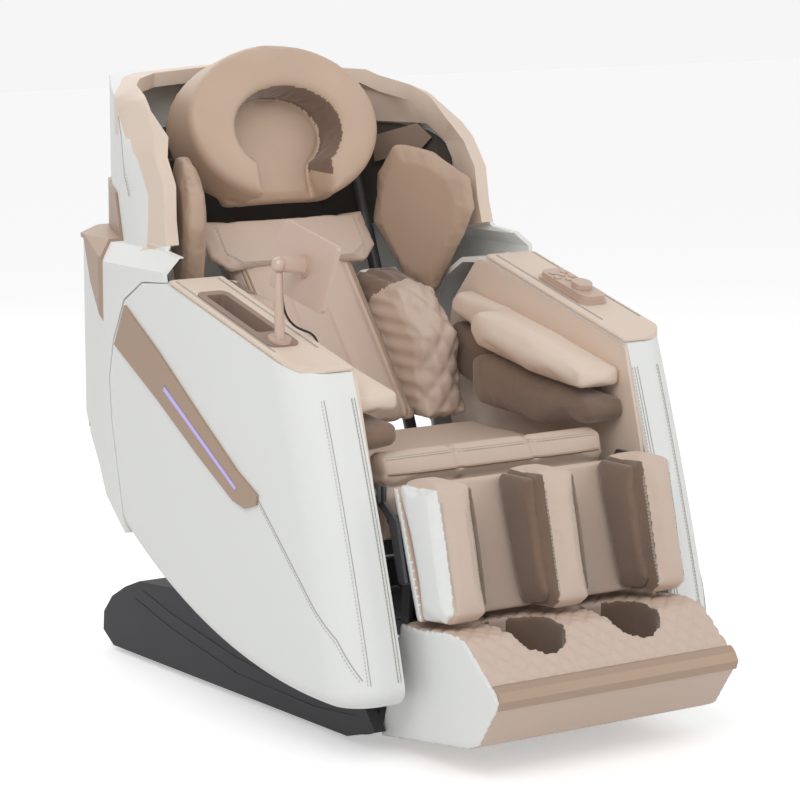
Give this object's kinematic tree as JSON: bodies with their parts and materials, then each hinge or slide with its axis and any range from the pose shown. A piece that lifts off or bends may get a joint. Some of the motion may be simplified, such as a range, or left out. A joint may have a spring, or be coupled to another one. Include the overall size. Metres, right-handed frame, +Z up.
{
  "type": "massage chair",
  "caption": "Full-body massage chair: rocking seat body on a black base, reclining hooded back, lifting leg rest with sliding foot section, tablet on one arm and a controller on the other.",
  "frame": {"origin": "on the floor, at the middle of the chair's width and length", "axes": "+Z up, the sitter faces -Y, +X to the right seen from the front"},
  "size_m": [0.8116, 1.2975, 1.1396],
  "materials": {
    "white_leather": "fine-grained white leather over moulded shells",
    "beige_leather": "smooth beige leather",
    "tan_leather": "tan leather with stitched channels",
    "suede": "brown brushed fabric",
    "black_plastic": "black moulded plastic",
    "dark_lining": "dark lining cloth",
    "bronze_trim": "bronze metallic paint",
    "rose_gold": "satin rose-gold paint",
    "light_strip": "violet light guide",
    "frame_steel": "black powder coat on steel",
    "bare_steel": "brushed steel",
    "rubber": "moulded rubber",
    "abs_grey": "grey moulded plastic",
    "roller_plastic": "cream roller plastic",
    "cable_black": "black cable jacket",
    "brown_trim": "brown metallic plastic"
  },
  "bodies": {
    "base": {"base_frame": "frame_steel", "base_covers": "black_plastic", "rubber_feet": "rubber", "rocking_motor": "abs_grey"},
    "front_axle": {"front_roller_axle": "rubber"},
    "rear_axle": {"rear_drive_axle": "rubber"},
    "left_caster": {"caster_wheel_left": "rubber"},
    "right_caster": {"caster_wheel_right": "rubber"},
    "seat_body": {"seat_frame": "frame_steel", "hinge_pins": "bare_steel", "side_shell_left": "white_leather", "side_shell_right": "white_leather", "arm_tops": "beige_leather", "inner_arm_panels": "beige_leather", "upper_forearm_pads": "beige_leather", "lower_forearm_pads": "suede", "side_bands": "bronze_trim", "light_strips": "light_strip", "seat_cushion": "tan_leather", "seat_front_rolls": "tan_leather", "seat_pan": "abs_grey", "air_pump": "abs_grey", "control_box": "abs_grey", "gear_motors": "abs_grey", "storage_tray": "brown_trim", "tablet_post": "rose_gold", "tablet_cable": "cable_black", "controller_housing": "rose_gold"},
    "tablet_swivel": {"tablet_swivel_head": "rose_gold"},
    "tablet": {"tablet": "rose_gold"},
    "knob": {"control_knob": "rose_gold"},
    "back": {"back_frame": "frame_steel", "back_shell": "white_leather", "hood_rim": "beige_leather", "rear_band": "bronze_trim", "roller_track": "bare_steel", "back_cushion": "tan_leather", "back_bolsters": "tan_leather", "shoulder_flap": "tan_leather", "shoulder_pads": "tan_leather", "hood_lining": "dark_lining", "speaker_grilles": "brown_trim"},
    "carriage": {"massage_carriage": "abs_grey"},
    "lower_rollers": {"kneading_rollers_lower": "roller_plastic"},
    "upper_rollers": {"kneading_rollers_upper": "roller_plastic"},
    "pillow": {"head_pillow": "beige_leather"},
    "leg": {"leg_frame": "frame_steel", "calf_housing": "tan_leather", "calf_walls": "tan_leather", "calf_pads": "suede"},
    "foot": {"foot_housing": "tan_leather", "nose_ribbon": "bronze_trim"},
    "front_sole": {"sole_rollers_front": "roller_plastic"},
    "rear_sole": {"sole_rollers_rear": "roller_plastic"},
    "key_1": {"control_key_1": "rose_gold"},
    "key_2": {"control_key_2": "rose_gold"},
    "key_3": {"control_key_3": "rose_gold"},
    "key_4": {"control_key_4": "rose_gold"},
    "key_5": {"control_key_5": "rose_gold"},
    "key_6": {"control_key_6": "rose_gold"}
  },
  "joints": [
    {"name": "body_rock", "type": "hinge", "parent": "base", "child": "seat_body", "pos_m": [0, -0.333, 1.256], "axis": [-1, 0, 0], "range_deg": [0, 8]},
    {"name": "front_axle_turn", "type": "hinge", "parent": "base", "child": "front_axle", "pos_m": [0, -0.2, 0.0953], "axis": [1, 0, 0], "continuous": true},
    {"name": "rear_axle_turn", "type": "hinge", "parent": "base", "child": "rear_axle", "pos_m": [0, 0.04, 0.14884], "axis": [1, 0, 0], "continuous": true},
    {"name": "left_caster_roll", "type": "hinge", "parent": "base", "child": "left_caster", "pos_m": [-0.19, 0.52, 0.033], "axis": [1, 0, 0], "continuous": true},
    {"name": "right_caster_roll", "type": "hinge", "parent": "base", "child": "right_caster", "pos_m": [0.19, 0.52, 0.033], "axis": [1, 0, 0], "continuous": true},
    {"name": "back_recline", "type": "hinge", "parent": "seat_body", "child": "back", "pos_m": [0, 0.245, 0.29], "axis": [-1, 0, 0], "range_deg": [0, 25]},
    {"name": "leg_lift", "type": "hinge", "parent": "seat_body", "child": "leg", "pos_m": [0, -0.318, 0.44], "axis": [-1, 0, 0], "range_deg": [0, 75]},
    {"name": "foot_slide", "type": "slide", "parent": "leg", "child": "foot", "axis": [0, -0.3149, -0.9491], "range_m": [0, 0.11]},
    {"name": "carriage_climb", "type": "slide", "parent": "back", "child": "carriage", "axis": [0, 0.6129, 0.7902], "range_m": [0, 0.3]},
    {"name": "lower_rollers_turn", "type": "hinge", "parent": "carriage", "child": "lower_rollers", "pos_m": [0, 0.21083, 0.48057], "axis": [1, 0, 0], "continuous": true},
    {"name": "upper_rollers_turn", "type": "hinge", "parent": "carriage", "child": "upper_rollers", "pos_m": [0, 0.25128, 0.53272], "axis": [1, 0, 0], "continuous": true},
    {"name": "pillow_flip", "type": "hinge", "parent": "back", "child": "pillow", "pos_m": [0, 0.585, 1.1], "axis": [-1, 0, 0], "range_deg": [0, 60]},
    {"name": "front_sole_turn", "type": "hinge", "parent": "foot", "child": "front_sole", "pos_m": [0, -0.537, 0.096], "axis": [1, 0, 0], "continuous": true},
    {"name": "rear_sole_turn", "type": "hinge", "parent": "foot", "child": "rear_sole", "pos_m": [0, -0.489, 0.096], "axis": [1, 0, 0], "continuous": true},
    {"name": "tablet_swivel_turn", "type": "hinge", "parent": "seat_body", "child": "tablet_swivel", "pos_m": [-0.357, -0.172, 0.79825], "axis": [0, 0, 1], "range_deg": [-60, 60]},
    {"name": "tablet_roll", "type": "hinge", "parent": "tablet_swivel", "child": "tablet", "pos_m": [-0.31322, -0.16934, 0.80605], "axis": [0.9883, 0.06, -0.14], "range_deg": [-90, 90]},
    {"name": "knob_turn", "type": "hinge", "parent": "seat_body", "child": "knob", "pos_m": [0.338, -0.09706, 0.71644], "axis": [0, -0.2588, 0.9659], "continuous": true},
    {"name": "key_1_press", "type": "slide", "parent": "seat_body", "child": "key_1", "axis": [0, 0.2588, -0.9659], "range_m": [0, 0.0012], "stiffness_N_per_m": 400, "springref_m": -0.0012},
    {"name": "key_2_press", "type": "slide", "parent": "seat_body", "child": "key_2", "axis": [0, 0.2588, -0.9659], "range_m": [0, 0.0012], "stiffness_N_per_m": 400, "springref_m": -0.0012},
    {"name": "key_3_press", "type": "slide", "parent": "seat_body", "child": "key_3", "axis": [0, 0.2588, -0.9659], "range_m": [0, 0.0012], "stiffness_N_per_m": 400, "springref_m": -0.0012},
    {"name": "key_4_press", "type": "slide", "parent": "seat_body", "child": "key_4", "axis": [0, 0.2588, -0.9659], "range_m": [0, 0.0012], "stiffness_N_per_m": 400, "springref_m": -0.0012},
    {"name": "key_5_press", "type": "slide", "parent": "seat_body", "child": "key_5", "axis": [0, 0.2588, -0.9659], "range_m": [0, 0.0012], "stiffness_N_per_m": 400, "springref_m": -0.0012},
    {"name": "key_6_press", "type": "slide", "parent": "seat_body", "child": "key_6", "axis": [0, 0.2588, -0.9659], "range_m": [0, 0.0012], "stiffness_N_per_m": 400, "springref_m": -0.0012}
  ],
  "couplings": [
    {"joint": "foot_slide", "follows": "leg_lift", "m_per_rad": 0.084},
    {"joint": "front_axle_turn", "follows": "body_rock", "ratio": 52.091},
    {"joint": "rear_axle_turn", "follows": "body_rock", "ratio": 52.091}
  ]
}
